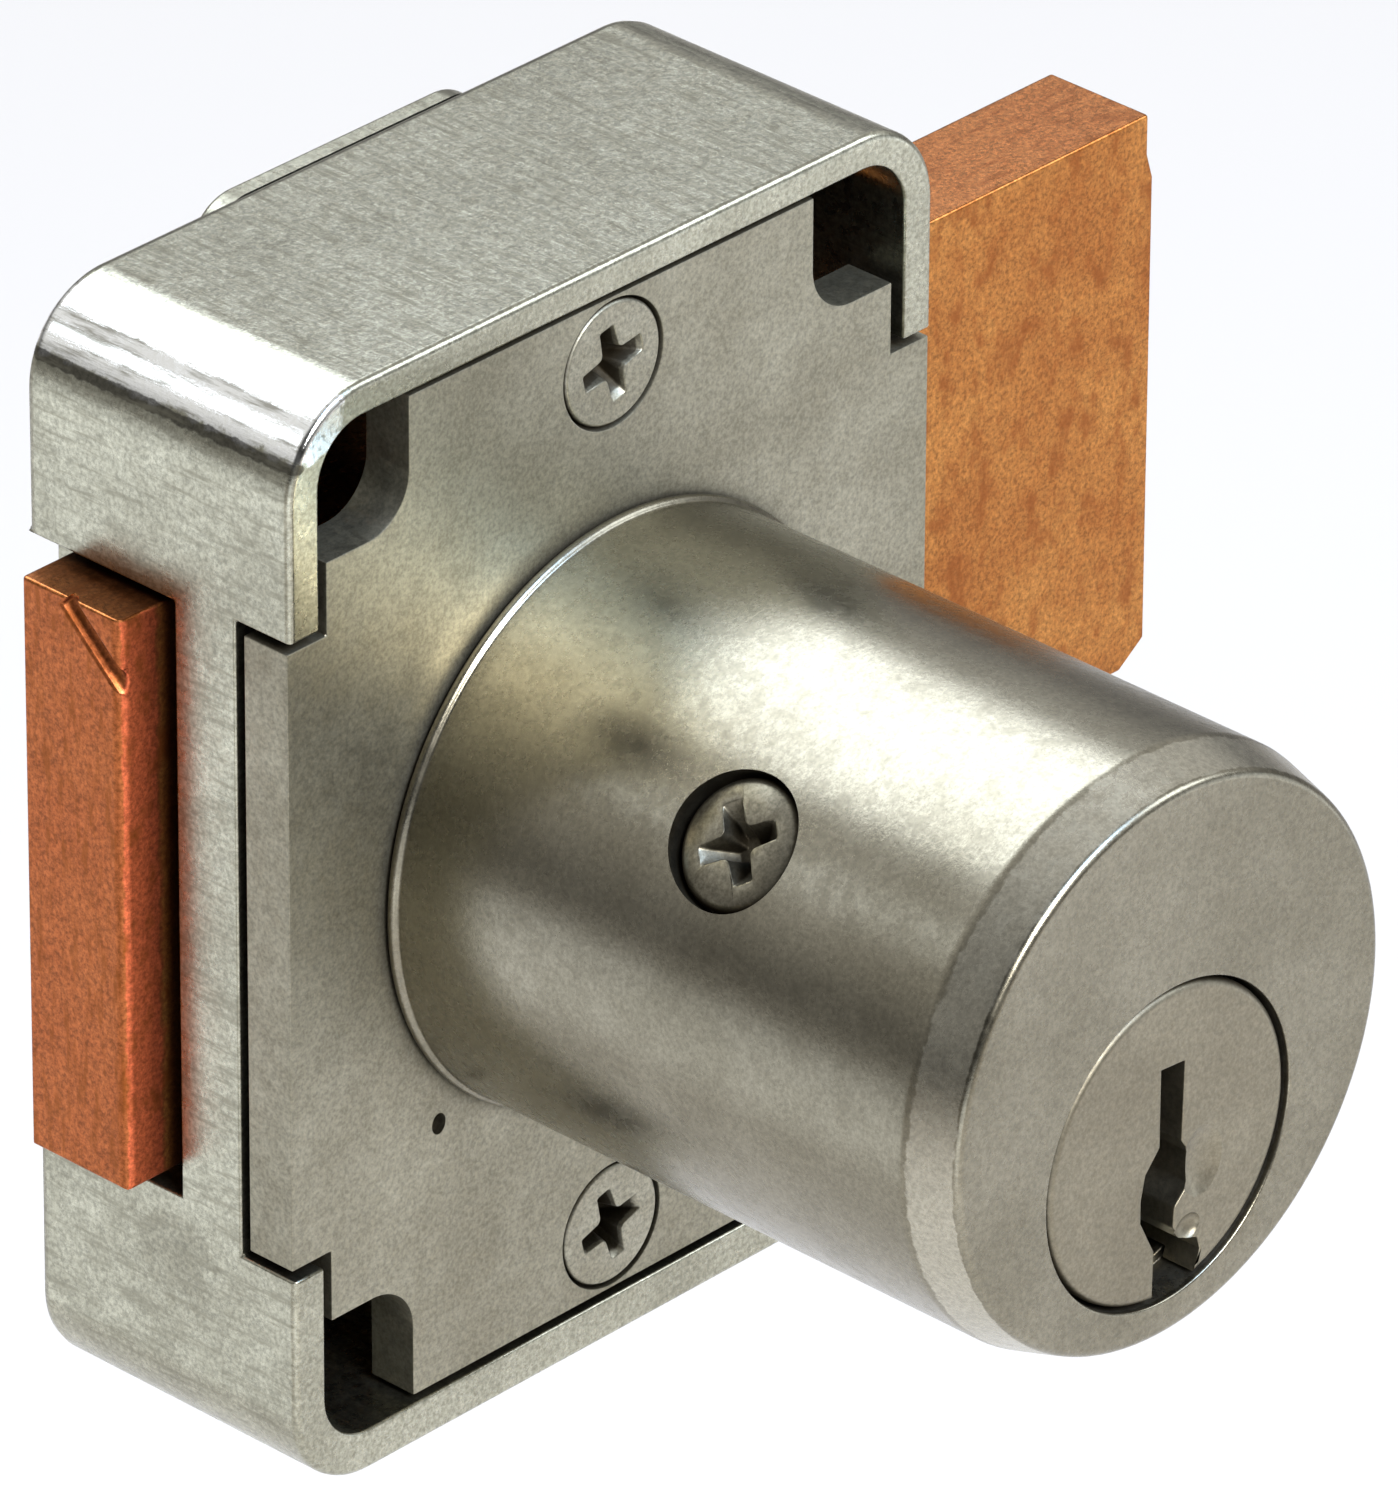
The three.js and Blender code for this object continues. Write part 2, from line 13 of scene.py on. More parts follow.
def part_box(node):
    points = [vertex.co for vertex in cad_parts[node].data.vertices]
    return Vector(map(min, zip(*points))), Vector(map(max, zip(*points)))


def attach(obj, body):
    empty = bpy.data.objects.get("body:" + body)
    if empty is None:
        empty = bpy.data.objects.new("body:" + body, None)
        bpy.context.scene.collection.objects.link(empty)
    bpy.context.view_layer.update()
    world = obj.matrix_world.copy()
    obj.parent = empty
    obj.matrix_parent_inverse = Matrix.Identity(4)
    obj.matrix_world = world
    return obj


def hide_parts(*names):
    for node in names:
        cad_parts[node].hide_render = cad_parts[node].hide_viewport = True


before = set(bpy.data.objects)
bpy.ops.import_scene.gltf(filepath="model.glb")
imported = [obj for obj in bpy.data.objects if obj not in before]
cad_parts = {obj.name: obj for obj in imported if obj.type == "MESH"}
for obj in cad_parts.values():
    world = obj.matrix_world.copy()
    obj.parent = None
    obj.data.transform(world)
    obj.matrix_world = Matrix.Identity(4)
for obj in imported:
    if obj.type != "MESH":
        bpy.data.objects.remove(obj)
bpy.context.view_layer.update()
MM = 0.001


# ---- camera: the photograph's angle ----
CAMERA_AZIMUTH = -46.74
CAMERA_ELEVATION = 29.46
CAMERA_ROLL = 0.305
CAMERA_DISTANCE = 560.8
CAMERA_TARGET = Vector((4.003, 0.0, 1.383))
FOCAL_LENGTH_IN_PIXELS = 16196.0
PICTURE_WIDTH = 1398
PICTURE_HEIGHT = 1500
PRINCIPAL_POINT = (695.7, 725.9)


def view_direction(azimuth, elevation):
    """The unit vector from the object towards a viewer at this azimuth and elevation, in degrees."""
    a, e = math.radians(azimuth), math.radians(elevation)
    return Vector((math.sin(a) * math.cos(e), -math.cos(a) * math.cos(e), math.sin(e)))


def make_camera():
    back = view_direction(CAMERA_AZIMUTH, CAMERA_ELEVATION)
    data = bpy.data.cameras.new("camera")
    data.sensor_fit = "VERTICAL"
    data.sensor_height = 36.0
    data.lens = FOCAL_LENGTH_IN_PIXELS * 36.0 / PICTURE_HEIGHT
    data.shift_x = (PICTURE_WIDTH / 2 - PRINCIPAL_POINT[0]) / PICTURE_HEIGHT
    data.shift_y = (PRINCIPAL_POINT[1] - PICTURE_HEIGHT / 2) / PICTURE_HEIGHT
    data.clip_start = 0.01
    data.clip_end = 20.0
    camera = bpy.data.objects.new("camera", data)
    bpy.context.scene.collection.objects.link(camera)
    turn = back.to_track_quat("Z", "Y") @ Matrix.Rotation(math.radians(CAMERA_ROLL), 3, "Z").to_quaternion()
    camera.rotation_mode = "QUATERNION"
    camera.rotation_quaternion = turn
    camera.location = (CAMERA_TARGET + back * CAMERA_DISTANCE) * MM
    bpy.context.scene.camera = camera


make_camera()


# ---- mesh helpers ----
def new_object(name, vertices, faces):
    """An object from vertices in millimetres and faces as index lists, linked to the scene."""
    mesh = bpy.data.meshes.new(name)
    mesh.from_pydata([(x * MM, y * MM, z * MM) for x, y, z in vertices], [], faces)
    mesh.validate()
    mesh.update()
    piece = bpy.data.objects.new(name, mesh)
    bpy.context.scene.collection.objects.link(piece)
    return piece


def outward(piece):
    """Points every face of a closed piece outwards."""
    bm = bmesh.new()
    bm.from_mesh(piece.data)
    bmesh.ops.recalc_face_normals(bm, faces=bm.faces)
    bm.to_mesh(piece.data)
    bm.free()
    return piece


def arc(cx, cz, radius, start, end, steps):
    """Points of an arc in the X-Z plane, with angles in degrees from +X towards +Z."""
    angles = [math.radians(start + (end - start) * i / steps) for i in range(steps + 1)]
    return [(cx + radius * math.cos(a), cz + radius * math.sin(a)) for a in angles]


def rounded_rectangle(x0, x1, z0, z1, radius, steps=20):
    return (
        arc(x1 - radius, z0 + radius, radius, -90, 0, steps)
        + arc(x1 - radius, z1 - radius, radius, 0, 90, steps)
        + arc(x0 + radius, z1 - radius, radius, 90, 180, steps)
        + arc(x0 + radius, z0 + radius, radius, 180, 270, steps)
    )


def loft(name, layers):
    """A closed solid through outlines of equal length, given as (y, outline) with y rising."""
    count = len(layers[0][1])
    vertices = [(x, y, z) for y, outline in layers for x, z in outline]
    faces = [list(range(count)), list(range(len(vertices) - 1, len(vertices) - count - 1, -1))]
    for layer in range(len(layers) - 1):
        a, b = layer * count, (layer + 1) * count
        for i in range(count):
            j = (i + 1) % count
            faces.append([a + j, a + i, b + i, b + j])
    return outward(new_object(name, vertices, faces))


def prism(name, outline, y0, y1):
    return loft(name, [(y0, outline), (y1, outline)])


def turned(name, profile, sides=160):
    """A solid of revolution about Y from [radius, y] points; the ends lie on the axis."""
    vertices = []
    rings = []
    for radius, y in profile:
        if radius < 1e-6:
            rings.append([len(vertices)])
            vertices.append((0.0, y, 0.0))
            continue
        rings.append(list(range(len(vertices), len(vertices) + sides)))
        for i in range(sides):
            a = 2 * math.pi * i / sides
            vertices.append((radius * math.cos(a), y, radius * math.sin(a)))
    faces = []
    for lower, upper in zip(rings, rings[1:]):
        for i in range(sides):
            j = (i + 1) % sides
            quad = [lower[i % len(lower)], lower[j % len(lower)],
                    upper[j % len(upper)], upper[i % len(upper)]]
            corners = list(dict.fromkeys(quad))
            if len(corners) > 2:
                faces.append(corners)
    return outward(new_object(name, vertices, faces))


def box(name, x0, x1, y0, y1, z0, z1):
    return prism(name, [(x0, z0), (x1, z0), (x1, z1), (x0, z1)], y0, y1)


def bar(name, radius, y0, y1, x=0.0, z=0.0, sides=96):
    return prism(name, arc(x, z, radius, 0, 360 - 360 / sides, sides - 1), y0, y1)


def dent(name, centre, radii):
    """An ellipsoid that cuts a shallow hollow when its centre lies outside the surface."""
    bm = bmesh.new()
    bmesh.ops.create_uvsphere(bm, u_segments=40, v_segments=20, radius=1.0)
    vertices = [tuple(c + v * r for c, v, r in zip(centre, vert.co, radii)) for vert in bm.verts]
    faces = [[vert.index for vert in face.verts] for face in bm.faces]
    bm.free()
    return outward(new_object(name, vertices, faces))


def apply_modifiers(piece):
    """Bakes the piece's modifiers into its mesh."""
    graph = bpy.context.evaluated_depsgraph_get()
    mesh = bpy.data.meshes.new_from_object(piece.evaluated_get(graph))
    piece.modifiers.clear()
    piece.data = mesh


def combine(piece, tool, operation):
    """Joins or cuts the piece with a closed tool piece, and deletes the tool."""
    modifier = piece.modifiers.new("cut", "BOOLEAN")
    modifier.operation = operation
    modifier.solver = "EXACT"
    modifier.object = tool
    apply_modifiers(piece)
    bpy.data.objects.remove(tool)


def cut(piece, *tools):
    for tool in tools:
        combine(piece, tool, "DIFFERENCE")


def join(piece, *tools):
    for tool in tools:
        combine(piece, tool, "UNION")


def soften(piece, width, angle=35, segments=3, wider=(), merge_flat=True):
    """Rounds every edge sharper than angle. Each rule in wider is (test, width): an edge whose
    middle, in millimetres, passes the test gets that width instead. merge_flat joins level faces."""
    bm = bmesh.new()
    bm.from_mesh(piece.data)
    bmesh.ops.remove_doubles(bm, verts=bm.verts, dist=0.002 * MM)
    if merge_flat:
        bmesh.ops.dissolve_limit(bm, angle_limit=math.radians(0.5), verts=bm.verts, edges=bm.edges)
    weight = bm.edges.layers.float.new("bevel_weight_edge")
    largest = max([width] + [rule_width for _, rule_width in wider])
    for edge in bm.edges:
        if len(edge.link_faces) != 2 or edge.calc_face_angle(0.0) < math.radians(angle):
            continue
        middle = (edge.verts[0].co + edge.verts[1].co) / 2 / MM
        chosen = next((rule_width for test, rule_width in wider if test(middle)), width)
        edge[weight] = chosen / largest
    bm.to_mesh(piece.data)
    bm.free()
    modifier = piece.modifiers.new("edges", "BEVEL")
    modifier.width = largest * MM
    modifier.segments = segments
    modifier.limit_method = "WEIGHT"
    modifier.use_clamp_overlap = False
    apply_modifiers(piece)


def shade(piece, angle=32):
    """Smooth shading that breaks at edges sharper than angle."""
    for polygon in piece.data.polygons:
        polygon.use_smooth = True
    piece.data.set_sharp_from_angle(angle=math.radians(angle))
    modifier = piece.modifiers.new("normals", "WEIGHTED_NORMAL")
    modifier.keep_sharp = True
    modifier.weight = 80
    apply_modifiers(piece)


def place(piece, body, slot, material, *nodes):
    """Dresses a finished piece, rides it on its body and lets it stand for its CAD nodes."""
    shade(piece)
    piece.data.materials.clear()
    piece.data.materials.append(material)
    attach(piece, body)
    if nodes:
        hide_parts(*nodes)


# ---- sizes, in millimetres, repeated from the CAD's driving dimensions ----
case_low, case_high = [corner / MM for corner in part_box("case")]
bolt_low, bolt_high = [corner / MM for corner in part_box("bolt")]
plug_low, plug_high = [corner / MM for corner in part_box("plug")]
plate_low, plate_high = [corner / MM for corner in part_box("front_plate")]
housing_low, housing_high = [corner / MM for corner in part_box("cylinder_housing")]
HALF_WIDTH = case_high.x
CASE_TOP = case_high.z
CASE_BOTTOM = case_low.z
CASE_INNER_HALF_HEIGHT = 19.95
CASE_BACK = 12.7
CASE_INNER_BACK = 11.2
PAD_BACK = case_high.y
CASE_WALL = 1.45
CASE_CORNER = 3.6
PAD_HALF_WIDTH = 7.0
PAD_HALF_HEIGHT = 20.85
TAB_SLOT_DEPTH = 2.6
TAB_SLOT_HALF_HEIGHT = 12.5
BOLT_SLOT_FRONT = 5.5
BOLT_SLOT_BOTTOM = -11.3
BOLT_SLOT_TOP = 12.15
MOUNT_HOLE_X = 12.0
MOUNT_HOLE_Z = 17.4
MOUNT_HOLE_RADIUS = 2.0
SCREW_Z = 17.1
SCREW_HEAD_RADIUS = 2.35
POST_TAIL_RADIUS = 1.5
CORNER_NOTCH_X = 9.95
CORNER_NOTCH_Z = 14.9
CORNER_NOTCH_RADIUS = 2.0
PLATE_HALF_WIDTH = 13.95
TAB_HALF_HEIGHT = 12.1
PLUG_Z = -3.12
PLUG_RADIUS = 5.95
PLUG_BORE_RADIUS = 6.1
CYLINDER_RADIUS = 11.11
COLLAR_RADIUS = 11.3
COLLAR_HEIGHT = 0.3
NECK_RADIUS = 10.2
NOSE_LENGTH = 2.15
NOSE_ROUND = 0.35
NOSE_FACE_RADIUS = 10.26
SIDE_SCREW_Y = -13.35
SIDE_SCREW_ANGLE = math.radians(41)
SIDE_HEAD_RADIUS = 2.4
SIDE_HEAD_SINK = 0.35
CRANK_THROW = 6.35
DRIVE_PIN_RADIUS = 1.5
DRIVE_PIN_WANDER = 0.211 * CRANK_THROW
TAIL_RADIUS = 4.0
TAIL_HALF_FLAT = 3.0


# ---- pieces ----
def make_case(material):
    outline = rounded_rectangle(-HALF_WIDTH, HALF_WIDTH, CASE_BOTTOM, CASE_TOP, CASE_CORNER, 24)
    shell = prism("case_shell", outline, 0, CASE_BACK)
    pad = rounded_rectangle(-PAD_HALF_WIDTH, PAD_HALF_WIDTH, -PAD_HALF_HEIGHT, PAD_HALF_HEIGHT, 2, 16)
    join(shell, prism("pad", pad, CASE_BACK - 0.6, PAD_BACK))
    inner_x, inner_z = HALF_WIDTH - CASE_WALL, CASE_INNER_HALF_HEIGHT
    hollow = rounded_rectangle(-inner_x, inner_x, -inner_z, inner_z, CASE_CORNER - CASE_WALL, 16)
    cut(shell, prism("hollow", hollow, -1, CASE_INNER_BACK))
    for side in (-1, 1):
        x0, x1 = sorted((side * (inner_x - 0.1), side * (HALF_WIDTH + 1)))
        cut(shell, box("tab_slot", x0, x1, -1, TAB_SLOT_DEPTH, -TAB_SLOT_HALF_HEIGHT, TAB_SLOT_HALF_HEIGHT))
        slot_y = (BOLT_SLOT_FRONT, CASE_BACK + 1)
        cut(shell, box("bolt_slot", x0, x1, *slot_y, BOLT_SLOT_BOTTOM, BOLT_SLOT_TOP))
        cut(shell, bar("rivet_hole", POST_TAIL_RADIUS + 0.05, 5, 20, 0, side * SCREW_Z, 48))
        for end in (-1, 1):
            hole_x, hole_z = side * MOUNT_HOLE_X, end * MOUNT_HOLE_Z
            cut(shell, bar("screw_hole", MOUNT_HOLE_RADIUS, 5, 20, hole_x, hole_z, 48))

    def outer_rim(p):
        middle_z, half_height = (CASE_TOP + CASE_BOTTOM) / 2, (CASE_TOP - CASE_BOTTOM) / 2
        on_side = abs(p.x) > HALF_WIDTH - 0.01 or abs(p.z - middle_z) > half_height - 0.01
        corner_x = abs(p.x) - (HALF_WIDTH - CASE_CORNER)
        corner_z = abs(p.z - middle_z) - (half_height - CASE_CORNER)
        in_corner = min(corner_x, corner_z) > 0 and math.hypot(corner_x, corner_z) > CASE_CORNER - 0.05
        return on_side or in_corner

    back_rim = (lambda p: p.y > CASE_BACK - 0.01 and p.y < CASE_BACK + 0.01 and outer_rim(p), 0.6)
    front_rim = (lambda p: p.y < 0.01 and outer_rim(p), 0.28)
    pad_rim = (lambda p: p.y > PAD_BACK - 0.01, 0.2)
    soften(shell, 0.12, wider=(back_rim, front_rim, pad_rim))
    place(shell, "lock_body", "case_nickel", material, "case")


def plate_outline():
    top = CASE_INNER_HALF_HEIGHT - 0.25
    reach = HALF_WIDTH - 0.02
    r = CORNER_NOTCH_RADIUS
    fillet = arc(CORNER_NOTCH_X + r, CORNER_NOTCH_Z + r, r, 270, 180, 14)
    quarter = [(reach, TAB_HALF_HEIGHT), (PLATE_HALF_WIDTH, TAB_HALF_HEIGHT),
               (PLATE_HALF_WIDTH, CORNER_NOTCH_Z), *fillet, (CORNER_NOTCH_X, top)]

    def mirrored(sx, sz):
        return [(sx * x, sz * z) for x, z in quarter]

    return mirrored(1, 1) + mirrored(-1, 1)[::-1] + mirrored(-1, -1) + mirrored(1, -1)[::-1]


def make_front_plate(material):
    front, back = plate_low.y, plate_high.y
    plate = prism("plate_face", plate_outline(), front, back)
    cut(plate, bar("cylinder_hole", 10.35, -1, 5, 0, 0, 160))
    for end in (-1, 1):
        z = end * SCREW_Z
        rim = [(front - 1, SCREW_HEAD_RADIUS + 0.1), (front + 0.25, SCREW_HEAD_RADIUS + 0.1),
               (front + 1.55, 1.4), (back + 1, 1.4)]
        cut(plate, loft("sink", [(y, arc(0, z, radius, 0, 356.25, 95)) for y, radius in rim]))
    soften(plate, 0.06, segments=2)
    cut(plate, dent("casting_pit", (-8.65, front + 0.1, -9.27), (0.34, 0.7, 0.42)))
    place(plate, "lock_body", "plate_nickel", material, "front_plate")


def turn_to_side(piece):
    """Turns a tool made along Y at the origin onto the side screw's axis, -Y end outwards."""
    turn = Matrix.Rotation(SIDE_SCREW_ANGLE, 4, "Y") @ Matrix.Rotation(math.radians(-90), 4, "Z")
    piece.data.transform(Matrix.Translation((0, SIDE_SCREW_Y * MM, 0)) @ turn)
    return piece


def make_housing(material):
    face = housing_low.y
    rounding = arc(NOSE_FACE_RADIUS, -face - NOSE_ROUND, NOSE_ROUND, 90, 12, 8)
    nose = [(0, face)] + [(radius, -y) for radius, y in rounding]
    nose += [(CYLINDER_RADIUS - 0.44, face + 0.5), (CYLINDER_RADIUS - 0.07, face + NOSE_LENGTH - 0.3),
             (CYLINDER_RADIUS - 0.02, face + NOSE_LENGTH - 0.11), (CYLINDER_RADIUS, face + NOSE_LENGTH)]
    # The barrel is divided into rings half a millimetre apart.
    barrel = [(CYLINDER_RADIUS, face + NOSE_LENGTH + 0.15 + 0.5 * ring) for ring in range(45)]
    base = [(CYLINDER_RADIUS, -COLLAR_HEIGHT - 0.05), (COLLAR_RADIUS - 0.05, -COLLAR_HEIGHT + 0.03),
            (COLLAR_RADIUS, -COLLAR_HEIGHT + 0.12), (COLLAR_RADIUS, 0.02), (NECK_RADIUS, 0.02),
            (NECK_RADIUS, 2.32), (NECK_RADIUS + 0.6, 2.4), (NECK_RADIUS, housing_high.y),
            (0, housing_high.y)]
    housing = turned("cylinder_shell", nose + barrel + base, 192)
    cut(housing, bar("plug_bore", 5.75, face - 1, 5, 0, PLUG_Z, 128))
    cut(housing, bar("head_bore", PLUG_BORE_RADIUS, face - 1, face + 1.73, 0, PLUG_Z, 128))
    counterbore = bar("counterbore", SIDE_HEAD_RADIUS + 0.15, -14, -9.1, 0, 0, 64)
    cut(housing, turn_to_side(counterbore))

    def near_side_screw(p):
        return abs(p.y - SIDE_SCREW_Y) < 4 and p.x < 0 and math.hypot(p.x, p.z) > 8

    soften(housing, 0.08, wider=((near_side_screw, 0.0),), merge_flat=False)
    place(housing, "lock_body", "cylinder_nickel", material, "cylinder_housing")


def cross_outline(reach, width, fillet):
    """A cross with rounded ends and filleted inner corners, centred on the origin."""
    points = []
    for quarter in range(4):
        a = quarter * 90
        turn = Matrix.Rotation(math.radians(a), 2)
        end = [Vector(p) for p in arc(reach - width * 0.6, 0, width, -60, 60, 6)]
        end = [Vector((min(p.x, reach), p.y)) for p in end]
        corner = [Vector(p) for p in arc(width + fillet, width + fillet, fillet, 270, 180, 6)]
        points += [tuple(turn @ p) for p in end + corner]
    return points


def cut_cross(piece, face, turn, size=1.0):
    """Cuts a tapered cross recess into a head whose face is at y = face."""
    steps = [(-0.3, 1.55, 0.43, 0.3), (0.0, 1.46, 0.39, 0.26), (0.35, 1.22, 0.35, 0.22),
             (0.8, 0.9, 0.3, 0.15), (1.15, 0.55, 0.22, 0.1)]
    spin = Matrix.Rotation(turn, 2)
    layers = []
    for y, reach, width, fillet in steps:
        outline = cross_outline(reach * size, width * size, fillet * size)
        layers.append((face + y * size, [tuple(spin @ Vector(p)) for p in outline]))
    cut(piece, loft("recess", layers))


def make_plate_screw(end, z, turn, material):
    face = plate_low.y + 0.02
    profile = [(0, face), (SCREW_HEAD_RADIUS - 0.14, face), (SCREW_HEAD_RADIUS - 0.04, face + 0.06),
               (SCREW_HEAD_RADIUS, face + 0.2), (1.1, face + 1.35), (1.1, face + 6.4),
               (0.7, face + 6.9), (0, face + 6.9)]
    screw = turned(f"screw_{end}", profile, 96)
    cut_cross(screw, face, turn)
    screw.data.transform(Matrix.Translation((0, 0, z * MM)))
    soften(screw, 0.05, segments=2)
    place(screw, "lock_body", "screw_nickel", material, f"plate_screw_{end}")


def make_side_screw(material):
    face = -(CYLINDER_RADIUS - SIDE_HEAD_SINK)
    profile = [(0, face - 0.05), (1.3, face - 0.02), (2.1, face + 0.08),
               (SIDE_HEAD_RADIUS - 0.1, face + 0.22), (SIDE_HEAD_RADIUS, face + 0.4),
               (SIDE_HEAD_RADIUS, face + 1.3), (1.1, face + 1.3), (1.1, -6.0), (0.7, -5.6), (0, -5.6)]
    screw = turned("side_screw", profile, 96)
    cut_cross(screw, face, math.radians(40), 1.05)
    soften(screw, 0.05, segments=2)
    turn_to_side(screw)
    place(screw, "lock_body", "screw_nickel", material, "cylinder_side_screw")


def keyway_outline():
    right = [(0.85, -0.2), (0.75, -3.3), (1.15, -3.95), (1.15, -5.1), (0.45, -5.8), (0.4, -6.6)]
    foot = [(0.8, -7.2), (1.65, -7.5), (1.8, -8.0), (1.3, -9.6), (-0.6, -9.6)]
    left = [(-0.55, -7.1), (-1.25, -5.7), (-1.25, -4.8), (-1.05, -3.9), (-0.35, -3.1), (-0.35, -0.1)]
    return (right + foot + left)[::-1]


def make_plug(material):
    face = plug_low.y
    plug = bar("plug_core", PLUG_RADIUS, face, face + 1.5, 0, PLUG_Z, 160)
    join(plug, bar("barrel", 5.6, face + 0.6, 2.8, 0, PLUG_Z, 128))
    tail = bar("tail", TAIL_RADIUS, 2.0, plug_high.y, 0, PLUG_Z, 64)
    combine(tail, box("flats", -TAIL_HALF_FLAT, TAIL_HALF_FLAT, 0, 8, -12, 8), "INTERSECT")
    join(plug, tail)
    cut(plug, prism("keyway", keyway_outline(), face - 1, -1.5))
    cut(plug, bar("screw_hole", 1.5, -0.1, 8, 0, PLUG_Z, 48))

    def plug_rim(p):
        return p.y < face + 0.01 and math.hypot(p.x, p.z - PLUG_Z) > PLUG_RADIUS - 0.05

    soften(plug, 0.07, wider=((plug_rim, 0.3),))
    cut(plug, dent("upper_wear", (1.75, face - 0.25, -4.5), (1.2, 0.5, 1.6)))
    cut(plug, dent("lower_wear", (1.1, face - 0.1, -6.85), (0.65, 0.35, 0.55)))
    place(plug, "plug", "plug_nickel", material, "plug")


def make_bolt(material):
    left, right, bottom, top = bolt_low.x, bolt_high.x, bolt_low.z, bolt_high.z
    clip = 1.3
    outline = [(left, bottom), (right - clip, bottom), (right, bottom + clip * 0.7), (right, top - 2.6),
               (right - 0.3, top - 1.6), (right - 0.3, top), (left, top)]
    bolt = prism("bolt_bar", outline, bolt_low.y, bolt_high.y)
    half_window = DRIVE_PIN_WANDER + DRIVE_PIN_RADIUS + 0.3
    window = rounded_rectangle(CRANK_THROW - half_window, CRANK_THROW + half_window,
                               PLUG_Z - 1.8, PLUG_Z + CRANK_THROW + 1.8, 0.9, 8)
    cut(bolt, prism("window", window, bolt_low.y - 1, bolt_high.y + 1))
    gouge_start, gouge_end = Vector((left, 8.8, 11.7)), Vector((left, 5.7, 8.9))
    gouge = bar("gouge", 0.38, 0, (gouge_end - gouge_start).length, 0, 0, 12)
    turn = (gouge_end - gouge_start).to_track_quat("Y", "X").to_matrix().to_4x4()
    gouge.data.transform(Matrix.Translation(gouge_start * MM) @ turn)
    cut(bolt, gouge)

    def tail_edge(p):
        return abs(p.x - left) < 0.01 and abs(p.y - bolt_low.y) < 0.01

    soften(bolt, 0.12, wider=((tail_edge, 0.45),))
    place(bolt, "bolt", "bolt_bronze", material, "bolt")


def coil_mesh(name, y, z0, z1, radius, wire, turns):
    """A compression spring standing along Z at y, with its end turns closed up."""
    sides, steps_per_turn = 10, 28
    steps = int(turns * steps_per_turn)
    closed = 0.9
    vertices, faces = [], []
    span = z1 - z0 - 2 * wire

    def height(turn):
        inner = turns - 2 * closed
        lead = 2.1 * wire
        if turn < closed:
            return lead * turn / closed
        if turn > turns - closed:
            return span - lead * (turns - turn) / closed
        return lead + (span - 2 * lead) * (turn - closed) / inner

    for i in range(steps + 1):
        turn = turns * i / steps
        a = 2 * math.pi * turn
        outwards = Vector((math.cos(a), math.sin(a), 0))
        centre = outwards * radius + Vector((0, y, z0 + wire + height(turn)))
        for k in range(sides):
            b = 2 * math.pi * k / sides
            rise = Vector((0, 0, wire * math.sin(b)))
            vertices.append(tuple(centre + outwards * wire * math.cos(b) + rise))
    for i in range(steps):
        for k in range(sides):
            j = (k + 1) % sides
            faces.append([i * sides + k, i * sides + j, (i + 1) * sides + j, (i + 1) * sides + k])
    faces += [list(range(sides))[::-1], list(range(len(vertices) - sides, len(vertices)))]
    return outward(new_object(name, vertices, faces))


def make_post(end, z, material):
    low, high = [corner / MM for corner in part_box(f"plate_post_{end}")]
    profile = [(0, low.y), (2.3, low.y), (2.45, low.y + 0.04), (2.56, low.y + 0.14), (2.6, low.y + 0.3),
               (2.6, CASE_INNER_BACK - 0.05), (POST_TAIL_RADIUS, CASE_INNER_BACK - 0.05),
               (POST_TAIL_RADIUS, PAD_BACK - 0.06), (1.32, PAD_BACK + 0.04), (1.0, PAD_BACK + 0.12),
               (0.5, high.y - 0.02), (0, high.y)]
    post = turned(f"post_{end}", profile, 64)
    cut(post, bar("thread", 1.2, low.y - 1, CASE_INNER_BACK - 1.5, 0, 0, 48))
    post.data.transform(Matrix.Translation((0, 0, z * MM)))
    place(post, "lock_body", "steel", material, f"plate_post_{end}")


